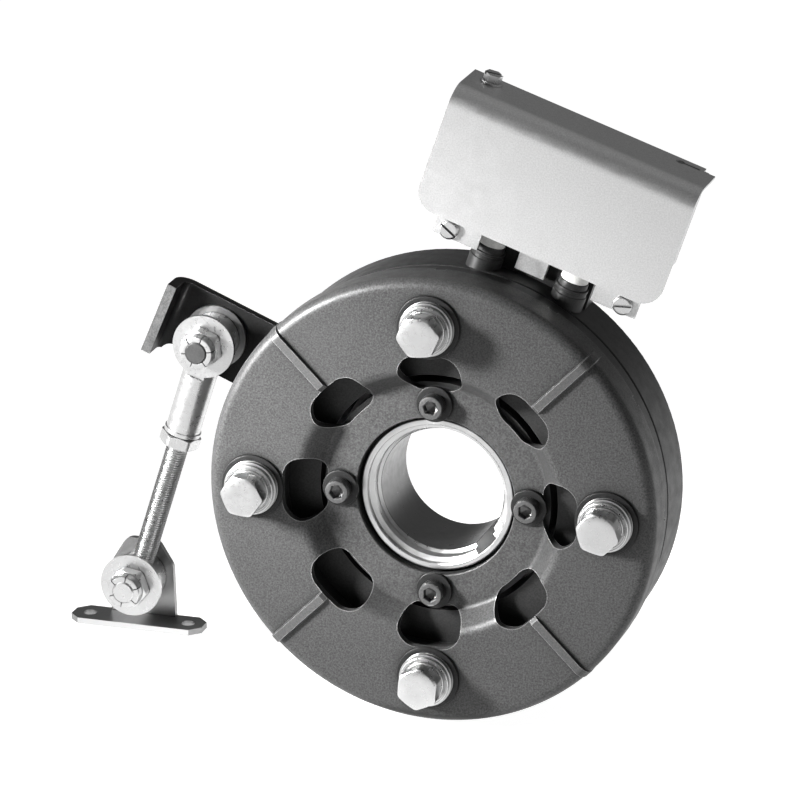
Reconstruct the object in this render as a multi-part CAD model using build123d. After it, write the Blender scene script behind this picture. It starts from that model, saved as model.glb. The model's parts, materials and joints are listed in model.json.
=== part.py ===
from build123d import *
import math
import os

# Stationary-field electromagnetic clutch with a torque arm. Millimetres, +Z up.
# The shaft axis is Y. The drive plate faces -Y and the field's rear face looks along +Y.
# The origin is on the shaft axis, in the middle of the keyed bore.
# "Depth" is the distance behind the drive plate's front face, so it is negative in front of it.

# ---- Driving dimensions ----------------------------------------------------------------------
RUN_GAP = 0.3            # between faces of bodies that move past each other
PIN_FIT = 0.06           # radial clearance of a pin in its eye
AIR_GAP = 0.8            # travel of the armature to the friction face

BORE_R = 30.96           # 2 7/16 in shaft
BORE_START = 23.0        # depth where the parallel bore begins
REAR = 62.0              # depth of the field's and the hub's rear face
KEY_WIDTH = 12.7
KEY_FLOOR_R = 36.0
KEY_START = 16.6         # just behind the mouth, whose own radius clears the key
KEY_ANGLE = -45.0

PLATE_R = 112.3
PLATE_T = 4.0
PLATE_FLANGE = 20.0      # depth of the rim's rear edge
DISH_DEPTH = 10.7
DISH_R = 57.0            # foot of the ramp down to the dish
RAMP_R = 66.0            # head of that ramp
PLATE_HOLE_R = 39.9
RIM_BEND_R = 5.5
KIDNEY_PCR = 64.4
KIDNEY_LENGTH = 32.0
KIDNEY_WIDTH = 20.0
KIDNEY_COUNT = 8
RIB_WIDTH = 4.8
RIB_HEIGHT = 2.0
RIB_START_R = 74.5
NOTCH_WIDTH = 5.0
NOTCH_DEPTH = 2.4
NOTCH_COUNT = 12

BOLT_PCR = 89.0          # four armature bolts
BOLT_R = 6.35
BOLT_HEAD_AF = 19.05
BOLT_HEAD_H = 8.0
BOLT_TURNS = (6.0, -6.0, 25.0, 45.0)    # how far each head happens to be turned, degrees
SEAT_R = 15.7
SEAT_T = 1.5
SPRING_R = 13.3
SPRING_T = 0.9
SPRING_CONE = 0.5
SPRING_COUNT = 3
CUP_R = 12.4
CUP_T = 2.4
LOCK_R = 9.4
LOCK_T = 2.6

SCREW_PCR = 47.5         # four cap screws in the dish
SCREW_R = 3.97
SCREW_HEAD_R = 5.95
SCREW_HEAD_H = 6.3
SCREW_SOCKET_AF = 6.35
SCREW_WASHER_R = 9.0
SCREW_WASHER_T = 2.0

ARMATURE_IN_R = 76.0
ARMATURE_OUT_R = 106.6
FACE = 16.2              # depth of the rotor's friction face
ROTOR_IN_R = 60.0
ROTOR_RIM_R = 107.3
ROTOR_LIP_R = 110.0
ROTOR_END = 32.0
ROTOR_CORE_R = 67.0      # outside of the inner pole sleeve
ROTOR_CORE_END = 41.0
ROTOR_SCREW_PCR = 63.5
ROTOR_SCREW_COUNT = 6
ROTOR_SCREW_R = 2.0
ROTOR_SCREW_HEAD_R = 3.6
ROTOR_SCREW_HEAD_H = 3.0
LINING_IN_R = 78.0
LINING_OUT_R = 92.0
LINING_T = 3.0

HUB_NOSE = 14.0
HUB_NOSE_R = 38.5
HUB_MOUTH_R = 35.3
FRONT_SEAT_R = 40.0      # front bearing inside diameter 80
REAR_SEAT_R = 45.0       # rear bearing inside diameter 90
HUB_FLANGE_R = 68.0
HUB_FLANGE_T = 5.0

FIELD_R = 110.0
FIELD_START = 33.5
FIELD_POLE_START = 28.0
FIELD_CORE_R = 69.5
COIL_IN_R = 77.0
COIL_OUT_R = 97.0
COIL_END = 53.0

FRONT_BEARING = dict(inner=40.0, outer=50.0, start=23.4, width=10.0, ball=2.6, count=26)
REAR_BEARING = dict(inner=45.0, outer=57.5, start=48.0, width=10.0, ball=3.5, count=24)
SNAP_T = 1.8

BRACKET_ANGLE = 157.5    # polar angle of the bracket's centre line, from +X towards +Z
BRACKET_WIDTH = 38.0
BRACKET_T = 4.8
BRACKET_START_R = 76.0
BRACKET_END_R = 169.5
BRACKET_TIP = 47.5       # depth of the front edge of the end that is bent forward
BRACKET_BEND_R = 9.0
BRACKET_RELIEF_R = 6.0   # notch in the lower edge beside the bend
BRACKET_SCREW_R = 90.0
PIVOT_R = 140.0          # upper pivot, measured from the shaft axis along the bracket

LINK_LENGTH = 135.2      # pivot to pivot
LINK_LEAN = 17.2         # degrees that the link leans out from straight down
EYE_R = 12.5
EYE_T = 15.0
PIN_R = 5.56             # 7/16 in pivot bolts and rod
WASHER_R = 15.9
WASHER_T = 2.0
NUT_AF = 18.3
NUT_H = 6.5
CROWN_R = 7.9
CROWN_H = 4.4
SLEEVE_R = 8.75
FLATS_END = 18.0         # the sleeve is flat as far as this beside the eye
SLEEVE_END = 50.7        # distance of the sleeve's end from the upper pivot
ROD_START = 26.0
ROD_THREAD_FIT = 0.07
JAM_NUT_H = 6.5

FOOT_LENGTH = 69.5
FOOT_DEPTH = 19.0
FOOT_T = 3.0
FOOT_DROP = 21.1         # from the lower pivot to the foot's top face
FOOT_HOLE_R = 3.6
FOOT_HOLE_SPACING = 52.4
FOOT_CHAMFER = 5.5
LUG_WIDTH = 32.4
LUG_RISE = 19.0          # from the lower pivot to the lug's top

BOX_ANGLE = 71.0         # polar angle of the conduit box
BOX_SHIFT = 4.5          # sideways offset of the box's middle from that radius
BOX_WIDTH = 127.0
BOX_LOW = 132.5          # distance of the cover's lower edge from the shaft axis
BOX_HIGH = 195.5
BOX_FRONT = 14.0
BOX_BACK = 48.3
BOX_FLOOR = 146.0
SHEET_T = 1.5
BOX_BEND_R = 10.0
BOX_CORNER_R = 11.0
BOX_END_INSET = 4.0
EAR_START = 30.0         # the two ears, measured sideways from the box's middle
EAR_END = 53.2
EAR_LOW = 118.0
EAR_FRONT = 30.0
EAR_FLANGE = 4.5         # how far each ear's upper end runs back under the floor
EAR_SCREW_SIDE = 45.6
EAR_SCREW_N = 122.6
PAN_HEAD_R = 4.8
PAN_HEAD_H = 2.8
PAN_SCREW_R = 2.4
PAN_SLOT_ANGLES = (-21.0, 20.0)        # how the two screw slots happen to lie
TOP_SCREW_SIDE = -52.5
TOP_SCREW_DEPTH = 40.0
TOP_SCREW_AF = 8.0
KNOCKOUT_R = 11.1        # hole for 1/2 in conduit
TERMINAL_ANGLE = 71.0
TERMINAL_SIDE = 22.0
TERMINAL_DEPTH = 42.0
BOSS_R = 8.4
BOSS_TOP = 120.0
CUP_OUT_R = 6.8
STUD_R = 2.5
STAND_WIDTH = 15.2
STAND_DEPTHS = (43.0, 46.8)
STAND_LOW = 112.5
PAD_HALF_WIDTH = 31.0
PAD_TOP = 126.0
PAD_END = 60.0

# ---- Worked-out positions --------------------------------------------------------------------
PLATE_FRONT_Y = -(BORE_START + REAR) / 2

PIVOT_X = PIVOT_R * math.cos(math.radians(BRACKET_ANGLE))
PIVOT_Z = PIVOT_R * math.sin(math.radians(BRACKET_ANGLE))
LOWER_X = PIVOT_X - LINK_LENGTH * math.sin(math.radians(LINK_LEAN))
LOWER_Z = PIVOT_Z - LINK_LENGTH * math.cos(math.radians(LINK_LEAN))

REAR_SNAP = REAR_BEARING["start"] + REAR_BEARING["width"]
FRONT_SNAP = FRONT_BEARING["start"] - SNAP_T
OUTPUT_SNAP = FRONT_BEARING["start"] + FRONT_BEARING["width"]

# Depths along the two pivot bolts, from the bracket forward.
REAR_WASHER_FRONT = REAR - WASHER_T
EYE_REAR = REAR_WASHER_FRONT - RUN_GAP
EYE_FRONT = EYE_REAR - EYE_T
FRONT_WASHER_REAR = EYE_FRONT - RUN_GAP
NUT_REAR = FRONT_WASHER_REAR - WASHER_T
NUT_FRONT = NUT_REAR - NUT_H
CROWN_FRONT = NUT_FRONT - CROWN_H
PIN_FRONT = CROWN_FRONT - 0.6
EYE_MID = (EYE_FRONT + EYE_REAR) / 2
LUG_FRONT = EYE_REAR + RUN_GAP
LUG_REAR = LUG_FRONT + FOOT_T

# Depths of the spring stack under each armature bolt's head.
SEAT_FRONT = -SEAT_T
SPRING_FRONT = SEAT_FRONT - SPRING_COUNT * (SPRING_T + SPRING_CONE)
CUP_FRONT = SPRING_FRONT - CUP_T
LOCK_FRONT = CUP_FRONT - LOCK_T
HEAD_FRONT = LOCK_FRONT - BOLT_HEAD_H

ARMATURE_FRONT = PLATE_T + RUN_GAP
ARMATURE_REAR = FACE - 0.4 - AIR_GAP


# ---- Helpers ---------------------------------------------------------------------------------
def across(depth):
    """Plane across the shaft at a depth, seen from the front: local x is X, local y is Z."""
    return Plane(origin=(0, PLATE_FRONT_Y + depth, 0), x_dir=(1, 0, 0), z_dir=(0, -1, 0))


def slab(sketch, start, end):
    """A sketch drawn as seen from the front, made solid between two depths."""
    return extrude(across(end) * sketch, amount=end - start)


def rod_y(x, z, radius, start, end):
    """A round bar parallel to the shaft."""
    return slab(Pos(x, z) * Circle(radius), start, end)


def ring_y(outer, inner, start, end):
    """A plain ring about the shaft."""
    return slab(Circle(outer) - Circle(inner), start, end)


def turned(profile, rounds=None):
    """A turned part: (radius, depth) corners, with some corners rounded by index."""
    radii = [0.0] * len(profile)
    for index, radius in (rounds or {}).items():
        radii[index] = radius
    points = [(r, PLATE_FRONT_Y + depth) for r, depth in profile]
    outline = FilletPolyline(*points, radius=radii, close=True)
    return revolve(make_face(outline), Axis.Y)


def polar(radius, angle):
    return radius * math.cos(math.radians(angle)), radius * math.sin(math.radians(angle))


def round_circle(shape_at, radius, count, first=90.0):
    """Copies of shape_at(x, z, index), evenly spaced on a circle about the shaft."""
    return [shape_at(*polar(radius, first + i * 360 / count), i) for i in range(count)]


def joined(shapes):
    """One solid from parts that meet."""
    total = shapes[0]
    for shape in shapes[1:]:
        total = total + shape
    return total


def cut_all(shape, tools):
    for tool in tools:
        shape = shape - tool
    return shape


def upright_at(angle):
    """Turns a part modelled with the radius along +Z to a polar angle about the shaft."""
    return Rot(0, 90 - angle, 0)


def block(x0, x1, depth0, depth1, z0, z1):
    """A box from its limits, with Y given as depths."""
    size = (x1 - x0, depth1 - depth0, z1 - z0)
    centre = ((x0 + x1) / 2, PLATE_FRONT_Y + (depth0 + depth1) / 2, (z0 + z1) / 2)
    return Pos(*centre) * Box(*size)


def hexagon(across_flats):
    return RegularPolygon(across_flats / 2, 6, major_radius=False)


def hex_head(x, z, across_flats, front, rear, turn=0.0, chamfer_front=True):
    """A hexagon parallel to the shaft whose front corners are cut to a cone."""
    head = slab(Pos(x, z) * Rot(0, 0, turn) * hexagon(across_flats), front, rear)
    if not chamfer_front:
        return head
    corner_r = across_flats / math.sqrt(3)
    flat_r = across_flats / 2 * 0.97
    drop = (corner_r - flat_r) * 0.55
    cone = Pos(x, PLATE_FRONT_Y + front + drop / 2, z) * Rot(90, 0, 0) * Cone(corner_r, flat_r, drop)
    body = slab(Pos(x, z) * Circle(corner_r + 1), front + drop, rear)
    return head & (cone + body)


def compound(shapes):
    return Compound(children=list(shapes))


# ---- Drive plate side ------------------------------------------------------------------------
def plate_blank():
    ramp = math.atan2(DISH_DEPTH, RAMP_R - DISH_R)
    shift = PLATE_T * math.tan(ramp / 2)
    profile = [
        (PLATE_HOLE_R, DISH_DEPTH),
        (DISH_R, DISH_DEPTH),
        (RAMP_R, 0),
        (PLATE_R, 0),
        (PLATE_R, PLATE_FLANGE),
        (PLATE_R - PLATE_T, PLATE_FLANGE),
        (PLATE_R - PLATE_T, PLATE_T),
        (RAMP_R + shift, PLATE_T),
        (DISH_R + shift, DISH_DEPTH + PLATE_T),
        (PLATE_HOLE_R, DISH_DEPTH + PLATE_T),
    ]
    rounds = {0: 0.6, 1: 4.0, 2: 7.0, 3: RIM_BEND_R, 4: 0.5, 6: 1.5, 7: 3.0, 8: 8.0}
    return turned(profile, rounds)


def plate_ribs():
    envelope = turned(
        [
            (RIB_START_R, -RIB_HEIGHT),
            (PLATE_R + 0.5, -RIB_HEIGHT),
            (PLATE_R + 0.5, PLATE_FLANGE * 0.6),
            (PLATE_R - 1, PLATE_FLANGE * 0.6),
            (PLATE_R - 6, 1),
            (RIB_START_R, 1),
        ],
        {1: RIM_BEND_R + 0.5, 3: 1.0, 4: 3.0},
    )
    ribs = []
    for angle in (45, 135, 225, 315):
        bar = block(-RIB_WIDTH / 2, RIB_WIDTH / 2, -5, PLATE_FLANGE, RIB_START_R, PLATE_R + 5)
        ribs.append(envelope & (upright_at(angle) * bar))
    return ribs


def drive_plate():
    plate = joined([plate_blank()] + plate_ribs())
    kidney_arc = math.degrees((KIDNEY_LENGTH - KIDNEY_WIDTH) / KIDNEY_PCR)
    tools = []
    for i in range(KIDNEY_COUNT):
        middle = i * 360 / KIDNEY_COUNT
        arc = CenterArc((0, 0), KIDNEY_PCR, middle - kidney_arc / 2, kidney_arc)
        tools.append(slab(SlotArc(arc, KIDNEY_WIDTH), -5, DISH_DEPTH + 10))
    tools += round_circle(lambda x, z, i: rod_y(x, z, BOLT_R + 1.4, -5, 10), BOLT_PCR, 4)
    tools += round_circle(lambda x, z, i: rod_y(x, z, SCREW_R + 0.3, 5, 20), SCREW_PCR, 4)
    notch = block(-NOTCH_WIDTH / 2, NOTCH_WIDTH / 2, PLATE_FLANGE - NOTCH_DEPTH, PLATE_FLANGE + 1,
                  PLATE_R - PLATE_T - 1, PLATE_R + 1)
    tools += [upright_at(i * 360 / NOTCH_COUNT) * notch for i in range(NOTCH_COUNT)]
    return cut_all(plate, tools)


def cap_screw(x, z, index):
    front = DISH_DEPTH - SCREW_WASHER_T - SCREW_HEAD_H
    head = rod_y(x, z, SCREW_HEAD_R, front, front + SCREW_HEAD_H)
    head = chamfer(head.edges().group_by(Axis.Y)[0], 0.6)
    shank = rod_y(x, z, SCREW_R, front + SCREW_HEAD_H, DISH_DEPTH + PLATE_T + 5.5)
    socket = slab(Pos(x, z) * Rot(0, 0, 20 * index) * hexagon(SCREW_SOCKET_AF), front - 1, front + 3.8)
    return head + shank - socket


def screw_washer(x, z, _):
    start = DISH_DEPTH - SCREW_WASHER_T
    return slab(Pos(x, z) * (Circle(SCREW_WASHER_R) - Circle(SCREW_R + 0.2)), start, DISH_DEPTH)


def output_ring():
    web_start = DISH_DEPTH + PLATE_T
    web_end = web_start + 6
    bearing = FRONT_BEARING
    end = bearing["start"] + bearing["width"] + 4.2
    ring = turned([
        (PLATE_HOLE_R, web_start),
        (57.0, web_start),
        (57.0, end),
        (bearing["outer"], end),
        (bearing["outer"], bearing["start"]),
        (bearing["outer"] - 3, bearing["start"]),
        (bearing["outer"] - 3, web_end),
        (PLATE_HOLE_R, web_end),
    ])
    groove = ring_y(bearing["outer"] + 1.6, bearing["outer"] - 1, OUTPUT_SNAP, OUTPUT_SNAP + SNAP_T)
    holes = round_circle(lambda x, z, i: rod_y(x, z, SCREW_R, 10, web_end + 3), SCREW_PCR, 4)
    return cut_all(ring - groove, holes)


def spring_seat(x, z, _):
    return slab(Pos(x, z) * (Circle(SEAT_R) - Circle(BOLT_R + 1.4)), SEAT_FRONT, 0)


def disc_spring(x, z, front, inward):
    """One coned disc, its rim either behind or in front of its middle."""
    inner, outer = BOLT_R + 0.5, SPRING_R
    rim, middle = (SPRING_CONE, 0.0) if inward else (0.0, SPRING_CONE)
    profile = Polyline(
        (inner, front + middle),
        (outer, front + rim),
        (outer, front + rim + SPRING_T),
        (inner, front + middle + SPRING_T),
        close=True,
    )
    disc = revolve(make_face(profile), Axis.Y)
    return Pos(x, PLATE_FRONT_Y, z) * disc


def disc_springs():
    pitch = SPRING_T + SPRING_CONE
    discs = []
    for angle in (0, 90, 180, 270):
        x, z = polar(BOLT_PCR, angle)
        discs += [disc_spring(x, z, SPRING_FRONT + i * pitch, i % 2 == 0) for i in range(SPRING_COUNT)]
    return compound(discs)


# ---- Armature --------------------------------------------------------------------------------
def armature_ring():
    ring = ring_y(ARMATURE_OUT_R, ARMATURE_IN_R, ARMATURE_FRONT, ARMATURE_REAR)
    holes = round_circle(lambda x, z, i: rod_y(x, z, BOLT_R, 0, 20), BOLT_PCR, 4)
    return cut_all(ring, holes)


def armature_bolt(x, z, index):
    turn = BOLT_TURNS[index]
    head = hex_head(x, z, BOLT_HEAD_AF, HEAD_FRONT, LOCK_FRONT, turn)
    return head + rod_y(x, z, BOLT_R, LOCK_FRONT, ARMATURE_REAR)


def lock_washer(x, z, index):
    washer = slab(Pos(x, z) * (Circle(LOCK_R) - Circle(BOLT_R + 0.15)), LOCK_FRONT, CUP_FRONT)
    gap = Pos(x, PLATE_FRONT_Y + (LOCK_FRONT + CUP_FRONT) / 2, z) * Rot(0, 40 + 75 * index, 25)
    return washer - gap * Pos(LOCK_R, 0, 0) * Box(LOCK_R, 2 * LOCK_T + 2, 1.2)


def spring_cup(x, z, _):
    """Stepped retaining washer: a raised rim, a groove and a raised middle."""
    inner = BOLT_R + 0.15
    profile = Polyline(
        (inner, CUP_FRONT),
        (LOCK_R + 0.4, CUP_FRONT),
        (LOCK_R + 1.2, CUP_FRONT + 1.1),
        (CUP_R - 0.9, CUP_FRONT + 0.9),
        (CUP_R - 0.4, CUP_FRONT + 0.4),
        (CUP_R, CUP_FRONT + 0.9),
        (CUP_R, SPRING_FRONT),
        (inner, SPRING_FRONT),
        close=True,
    )
    return Pos(x, PLATE_FRONT_Y, z) * revolve(make_face(profile), Axis.Y)


# ---- Rotor -----------------------------------------------------------------------------------
def rotor_hub():
    front, rear = FRONT_BEARING, REAR_BEARING
    flange_start = ROTOR_CORE_END
    flange_end = flange_start + HUB_FLANGE_T
    hub = turned(
        [
            (HUB_MOUTH_R, HUB_NOSE),
            (HUB_NOSE_R, HUB_NOSE),
            (HUB_NOSE_R, front["start"]),
            (FRONT_SEAT_R, front["start"]),
            (FRONT_SEAT_R, front["start"] + front["width"]),
            (FRONT_SEAT_R + 3, front["start"] + front["width"]),
            (FRONT_SEAT_R + 3, flange_start),
            (HUB_FLANGE_R, flange_start),
            (HUB_FLANGE_R, flange_end),
            (REAR_SEAT_R + 2.5, flange_end),
            (REAR_SEAT_R + 2.5, rear["start"]),
            (REAR_SEAT_R, rear["start"]),
            (REAR_SEAT_R, REAR),
            (BORE_R, REAR),
            (BORE_R, BORE_START),
            (BORE_R + 1.6, BORE_START - 1.2),
            (BORE_R + 2.0, HUB_NOSE + 3.4),
            (HUB_MOUTH_R, HUB_NOSE + 2.6),
        ],
        {0: 0.6, 1: 0.8},
    )
    key = block(-KEY_WIDTH / 2, KEY_WIDTH / 2, KEY_START, REAR + 1, BORE_R - 4, KEY_FLOOR_R)
    hub = hub - upright_at(KEY_ANGLE) * key
    hub = hub - ring_y(REAR_SEAT_R + 1, REAR_SEAT_R - 1.6, REAR_SNAP, REAR_SNAP + SNAP_T)
    hub = hub - ring_y(HUB_NOSE_R + 1, HUB_NOSE_R - 1.4, FRONT_SNAP, FRONT_SNAP + SNAP_T)
    hub = cut_all(hub, rotor_screw_bars(ROTOR_SCREW_R, flange_start - 1, flange_end + 1))
    recess_start = flange_end - ROTOR_SCREW_HEAD_H
    return cut_all(hub, rotor_screw_bars(ROTOR_SCREW_HEAD_R, recess_start, flange_end + 1))


def rotor_screw_bars(radius, start, end):
    return round_circle(lambda x, z, i: rod_y(x, z, radius, start, end), ROTOR_SCREW_PCR, ROTOR_SCREW_COUNT)


def pole_ring():
    """The rotor's pole piece: friction face, inner pole sleeve and outer pole rim."""
    ring = turned([
        (ROTOR_IN_R, FACE),
        (ROTOR_RIM_R, FACE),
        (ROTOR_RIM_R, PLATE_FLANGE + 0.8),
        (ROTOR_LIP_R, PLATE_FLANGE + 0.8),
        (ROTOR_LIP_R, ROTOR_END),
        (ROTOR_RIM_R - 3.8, ROTOR_END),
        (ROTOR_RIM_R - 3.8, FACE + 9),
        (ROTOR_CORE_R, FACE + 9),
        (ROTOR_CORE_R, ROTOR_CORE_END),
        (ROTOR_IN_R, ROTOR_CORE_END),
    ])
    ring = ring - ring_y(LINING_OUT_R, LINING_IN_R, FACE - 1, FACE + LINING_T)
    middle_r = (LINING_IN_R + LINING_OUT_R) / 2
    slots = []
    for i in range(ROTOR_SCREW_COUNT):
        arc = CenterArc((0, 0), middle_r, i * 60 + 5, 50)
        slots.append(slab(SlotArc(arc, 4.0), FACE, FACE + 12))
    ring = cut_all(ring, slots)
    return cut_all(ring, rotor_screw_bars(ROTOR_SCREW_R, ROTOR_CORE_END - 10, ROTOR_CORE_END + 1))


def rotor_screws():
    seat = ROTOR_CORE_END + HUB_FLANGE_T - ROTOR_SCREW_HEAD_H
    heads = rotor_screw_bars(ROTOR_SCREW_HEAD_R, seat, seat + ROTOR_SCREW_HEAD_H)
    shanks = rotor_screw_bars(ROTOR_SCREW_R, ROTOR_CORE_END - 9, seat)
    return compound([head + shank for head, shank in zip(heads, shanks)])


def friction_lining():
    return ring_y(LINING_OUT_R, LINING_IN_R, FACE, FACE + LINING_T)


# ---- Bearings --------------------------------------------------------------------------------
def race_limits(bearing):
    pitch = (bearing["inner"] + bearing["outer"]) / 2
    return pitch, pitch - bearing["ball"] * 0.62, pitch + bearing["ball"] * 0.62


def ball_track(bearing):
    pitch = race_limits(bearing)[0]
    middle = PLATE_FRONT_Y + bearing["start"] + bearing["width"] / 2
    return Pos(0, middle, 0) * Rot(90, 0, 0) * Torus(pitch, bearing["ball"] + 0.12)


def bearing_inner(bearing):
    end = bearing["start"] + bearing["width"]
    return ring_y(race_limits(bearing)[1], bearing["inner"], bearing["start"], end) - ball_track(bearing)


def bearing_outer(bearing):
    end = bearing["start"] + bearing["width"]
    return ring_y(bearing["outer"], race_limits(bearing)[2], bearing["start"], end) - ball_track(bearing)


def ball_centres(bearing):
    pitch = race_limits(bearing)[0]
    middle = PLATE_FRONT_Y + bearing["start"] + bearing["width"] / 2
    count = bearing["count"]
    spots = [polar(pitch, i * 360 / count) for i in range(count)]
    return [Pos(x, middle, z) for x, z in spots]


def bearing_balls(bearing):
    return compound([spot * Sphere(bearing["ball"]) for spot in ball_centres(bearing)])


def bearing_cage(bearing):
    pitch, inside, outside = race_limits(bearing)
    inside += 0.5
    outside -= 0.5
    start = bearing["start"] + 0.8
    cage = ring_y(outside, inside, start, start + bearing["width"] - 1.6)
    radial = Pos(0, start + PLATE_FRONT_Y + bearing["width"] / 2 - 0.8, pitch)
    pocket = radial * Cylinder(bearing["ball"] + 0.15, 12)
    count = bearing["count"]
    return cut_all(cage, [upright_at(i * 360 / count) * pocket for i in range(count)])


def snap_ring(outer, inner, start, gap_angle):
    ring = ring_y(outer, inner, start + 0.05, start + SNAP_T - 0.05)
    gap = block(-4, 4, start - 1, start + SNAP_T + 1, inner - 2, outer + 2)
    return ring - upright_at(gap_angle) * gap


# ---- Field -----------------------------------------------------------------------------------
def field_shell():
    rear = REAR_BEARING
    shell = turned(
        [
            (COIL_OUT_R, FIELD_POLE_START),
            (COIL_OUT_R + 5, FIELD_POLE_START),
            (COIL_OUT_R + 5, FIELD_START),
            (FIELD_R, FIELD_START),
            (FIELD_R, REAR),
            (rear["outer"], REAR),
            (rear["outer"], rear["start"]),
            (rear["outer"] - 2.5, rear["start"]),
            (rear["outer"] - 2.5, rear["start"] - 1.2),
            (FIELD_CORE_R, rear["start"] - 1.2),
            (FIELD_CORE_R, FIELD_POLE_START),
            (COIL_IN_R, FIELD_POLE_START),
            (COIL_IN_R, COIL_END),
            (COIL_OUT_R, COIL_END),
        ],
        {3: 0.8, 4: 1.2},
    )
    shell = shell - ring_y(rear["outer"] + 1.6, rear["outer"] - 1, REAR_SNAP, REAR_SNAP + SNAP_T)
    shell = cut_all(shell, [bracket_screw_bar(x, SCREW_R, REAR - 7, REAR + 1) for x in (-1, 1)])
    stud_holes = [terminal_bar(side, STUD_R + 0.4, COIL_OUT_R - 6, FIELD_R + 5) for side in (-1, 1)]
    return cut_all(shell, stud_holes)


def coil_bobbin():
    wall = 1.5
    start, end = FIELD_POLE_START + 2.0, COIL_END
    return turned([
        (COIL_IN_R, start),
        (COIL_OUT_R, start),
        (COIL_OUT_R, start + wall),
        (COIL_IN_R + wall, start + wall),
        (COIL_IN_R + wall, end - wall),
        (COIL_OUT_R, end - wall),
        (COIL_OUT_R, end),
        (COIL_IN_R, end),
    ])


def coil_winding():
    wall = 1.5
    start = FIELD_POLE_START + 2.0 + wall
    return ring_y(COIL_OUT_R - 1.0, COIL_IN_R + wall, start, COIL_END - wall)


def coil_potting():
    return ring_y(COIL_OUT_R, COIL_IN_R, FIELD_POLE_START + 0.4, FIELD_POLE_START + 2.0)


def bracket_screw_bar(side, radius, start, end):
    x = side * BRACKET_WIDTH * 0.26
    return upright_at(BRACKET_ANGLE) * rod_y(x, BRACKET_SCREW_R, radius, start, end)


def bent_sheet(profile, rounds, half_width):
    """A bent strip: (depth, distance from the axis) corners, spread evenly to both sides."""
    radii = [rounds.get(index, 0.0) for index in range(len(profile))]
    points = [(PLATE_FRONT_Y + depth, n) for depth, n in profile]
    outline = make_face(Plane.YZ * FilletPolyline(*points, radius=radii, close=True))
    return extrude(outline, amount=half_width, both=True)


def torque_bracket():
    """Flat arm with its outer end bent forward and a relief notch beside the bend."""
    back = REAR + BRACKET_T
    arm = bent_sheet(
        [
            (REAR, BRACKET_START_R),
            (back, BRACKET_START_R),
            (back, BRACKET_END_R),
            (BRACKET_TIP, BRACKET_END_R),
            (BRACKET_TIP, BRACKET_END_R - BRACKET_T),
            (REAR, BRACKET_END_R - BRACKET_T),
        ],
        {2: BRACKET_BEND_R, 5: BRACKET_BEND_R - BRACKET_T},
        BRACKET_WIDTH / 2,
    )
    relief_n = BRACKET_END_R - BRACKET_BEND_R - BRACKET_RELIEF_R / 2
    relief = rod_y(-BRACKET_WIDTH / 2 - 2, relief_n, BRACKET_RELIEF_R, REAR - 1, back + 1)
    pivot = rod_y(0, PIVOT_R, PIN_R, REAR - 1, back + 1)
    arm = upright_at(BRACKET_ANGLE) * (arm - relief - pivot)
    return cut_all(arm, [bracket_screw_bar(side, SCREW_R, REAR - 1, back + 1) for side in (-1, 1)])


def bracket_screw(side):
    seat = REAR + BRACKET_T
    head = slab(Pos(side * BRACKET_WIDTH * 0.26, BRACKET_SCREW_R) * hexagon(12.7), seat, seat + 5)
    return bracket_screw_bar(side, SCREW_R, REAR - 6.5, seat) + upright_at(BRACKET_ANGLE) * head


# ---- Pivots ----------------------------------------------------------------------------------
def pivot_bolt(x, z, seat):
    """Hexagon bolt from behind, its end just proud of the crown nut."""
    shank = rod_y(x, z, PIN_R, PIN_FRONT, seat)
    shank = chamfer(shank.edges().group_by(Axis.Y)[0], 0.7)
    return shank + slab(Pos(x, z) * hexagon(15.9), seat, seat + 5.5)


def pivot_washer(x, z, start):
    return slab(Pos(x, z) * (Circle(WASHER_R) - Circle(PIN_R)), start, start + WASHER_T)


def crown_nut(x, z, turn):
    """Hexagon nut with a slotted crown."""
    nut = hex_head(x, z, NUT_AF, NUT_FRONT, NUT_REAR, turn)
    nut = nut + rod_y(x, z, CROWN_R, CROWN_FRONT, NUT_FRONT)
    nut = nut - rod_y(x, z, PIN_R, CROWN_FRONT - 1, NUT_REAR + 1)
    for i in range(3):
        slit = Pos(x, z) * Rot(0, 0, turn + 60 * i) * Rectangle(2 * CROWN_R + 2, 1.6)
        nut = nut - slab(slit, CROWN_FRONT - 1, NUT_FRONT - 0.4)
    return nut


# ---- Torque link -----------------------------------------------------------------------------
def on_link(shape):
    """Places a part modelled with the upper pivot at the origin and the link along -Z."""
    return Pos(PIVOT_X, PLATE_FRONT_Y + EYE_MID, PIVOT_Z) * Rot(0, LINK_LEAN, 0) * shape


def eye(z):
    """Cross-drilled eye with its pin hole along Y."""
    return Pos(0, 0, z) * Rot(90, 0, 0) * Cylinder(EYE_R, EYE_T)


def pin_hole(z):
    return Pos(0, 0, z) * Rot(90, 0, 0) * Cylinder(PIN_R + PIN_FIT, EYE_T + 2)


def stem(radius, z_top, z_bottom):
    return Pos(0, 0, (z_top + z_bottom) / 2) * Cylinder(radius, z_top - z_bottom)


def eye_sleeve():
    flats = Pos(0, 0, -SLEEVE_END / 2) * Box(3 * EYE_R, EYE_T, SLEEVE_END)
    body = eye(0) + (stem(SLEEVE_R, 0, -SLEEVE_END) & (flats + stem(EYE_R, -FLATS_END, -SLEEVE_END)))
    body = body + stem(SLEEVE_R + 0.5, -SLEEVE_END + 2, -SLEEVE_END)
    bore = stem(PIN_R + ROD_THREAD_FIT, -ROD_START + 8, -SLEEVE_END - 1)
    return on_link(body - pin_hole(0) - bore)


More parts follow.
